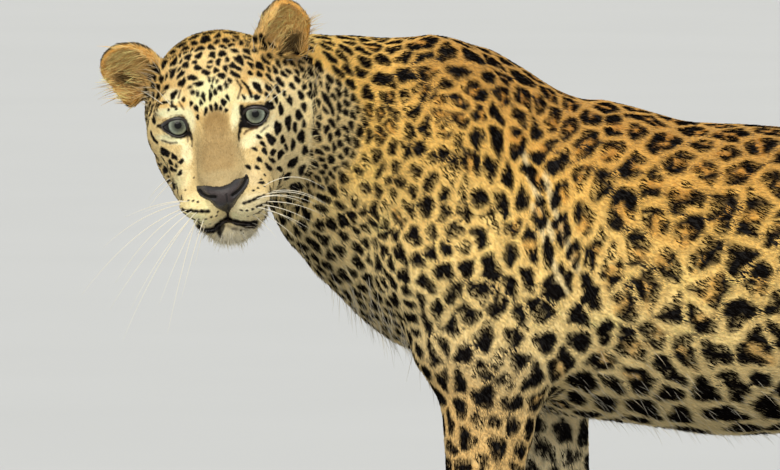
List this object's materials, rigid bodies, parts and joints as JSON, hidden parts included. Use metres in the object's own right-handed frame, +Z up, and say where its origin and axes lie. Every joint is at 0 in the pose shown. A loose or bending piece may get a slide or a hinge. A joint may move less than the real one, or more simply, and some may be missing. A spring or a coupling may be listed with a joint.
{
  "type": "leopard",
  "caption": "Life-size leopard standing on all four paws, head turned to its left, the tail hanging behind with its end curled up clear of the floor.",
  "frame": {"origin": "middle of the bounding box, on the floor that the paws stand on", "axes": "+Z up; the body faces -X; the animal's left side faces -Y"},
  "size_m": [1.4668, 0.3886, 0.7249],
  "materials": {
    "coat": "short dense fur, matt",
    "nose_leather": "bare damp skin, satin",
    "eye": "wet, polished"
  },
  "bodies": {
    "root": {"belly": "coat", "chest": "coat", "ear_left": "coat", "ear_right": "coat", "eye_left": "eye", "eye_right": "eye", "forearm_left": "coat", "forearm_right": "coat", "forepaw_left": "coat", "forepaw_right": "coat", "head": "coat", "hindpaw_left": "coat", "hindpaw_right": "coat", "neck": "coat", "nose": "nose_leather", "rump": "coat", "shank_left": "coat", "shank_right": "coat", "tail_bend": "coat", "tail_middle": "coat", "tail_root": "coat", "tail_tip": "coat", "thigh_left": "coat", "thigh_right": "coat"}
  },
  "joints": []
}
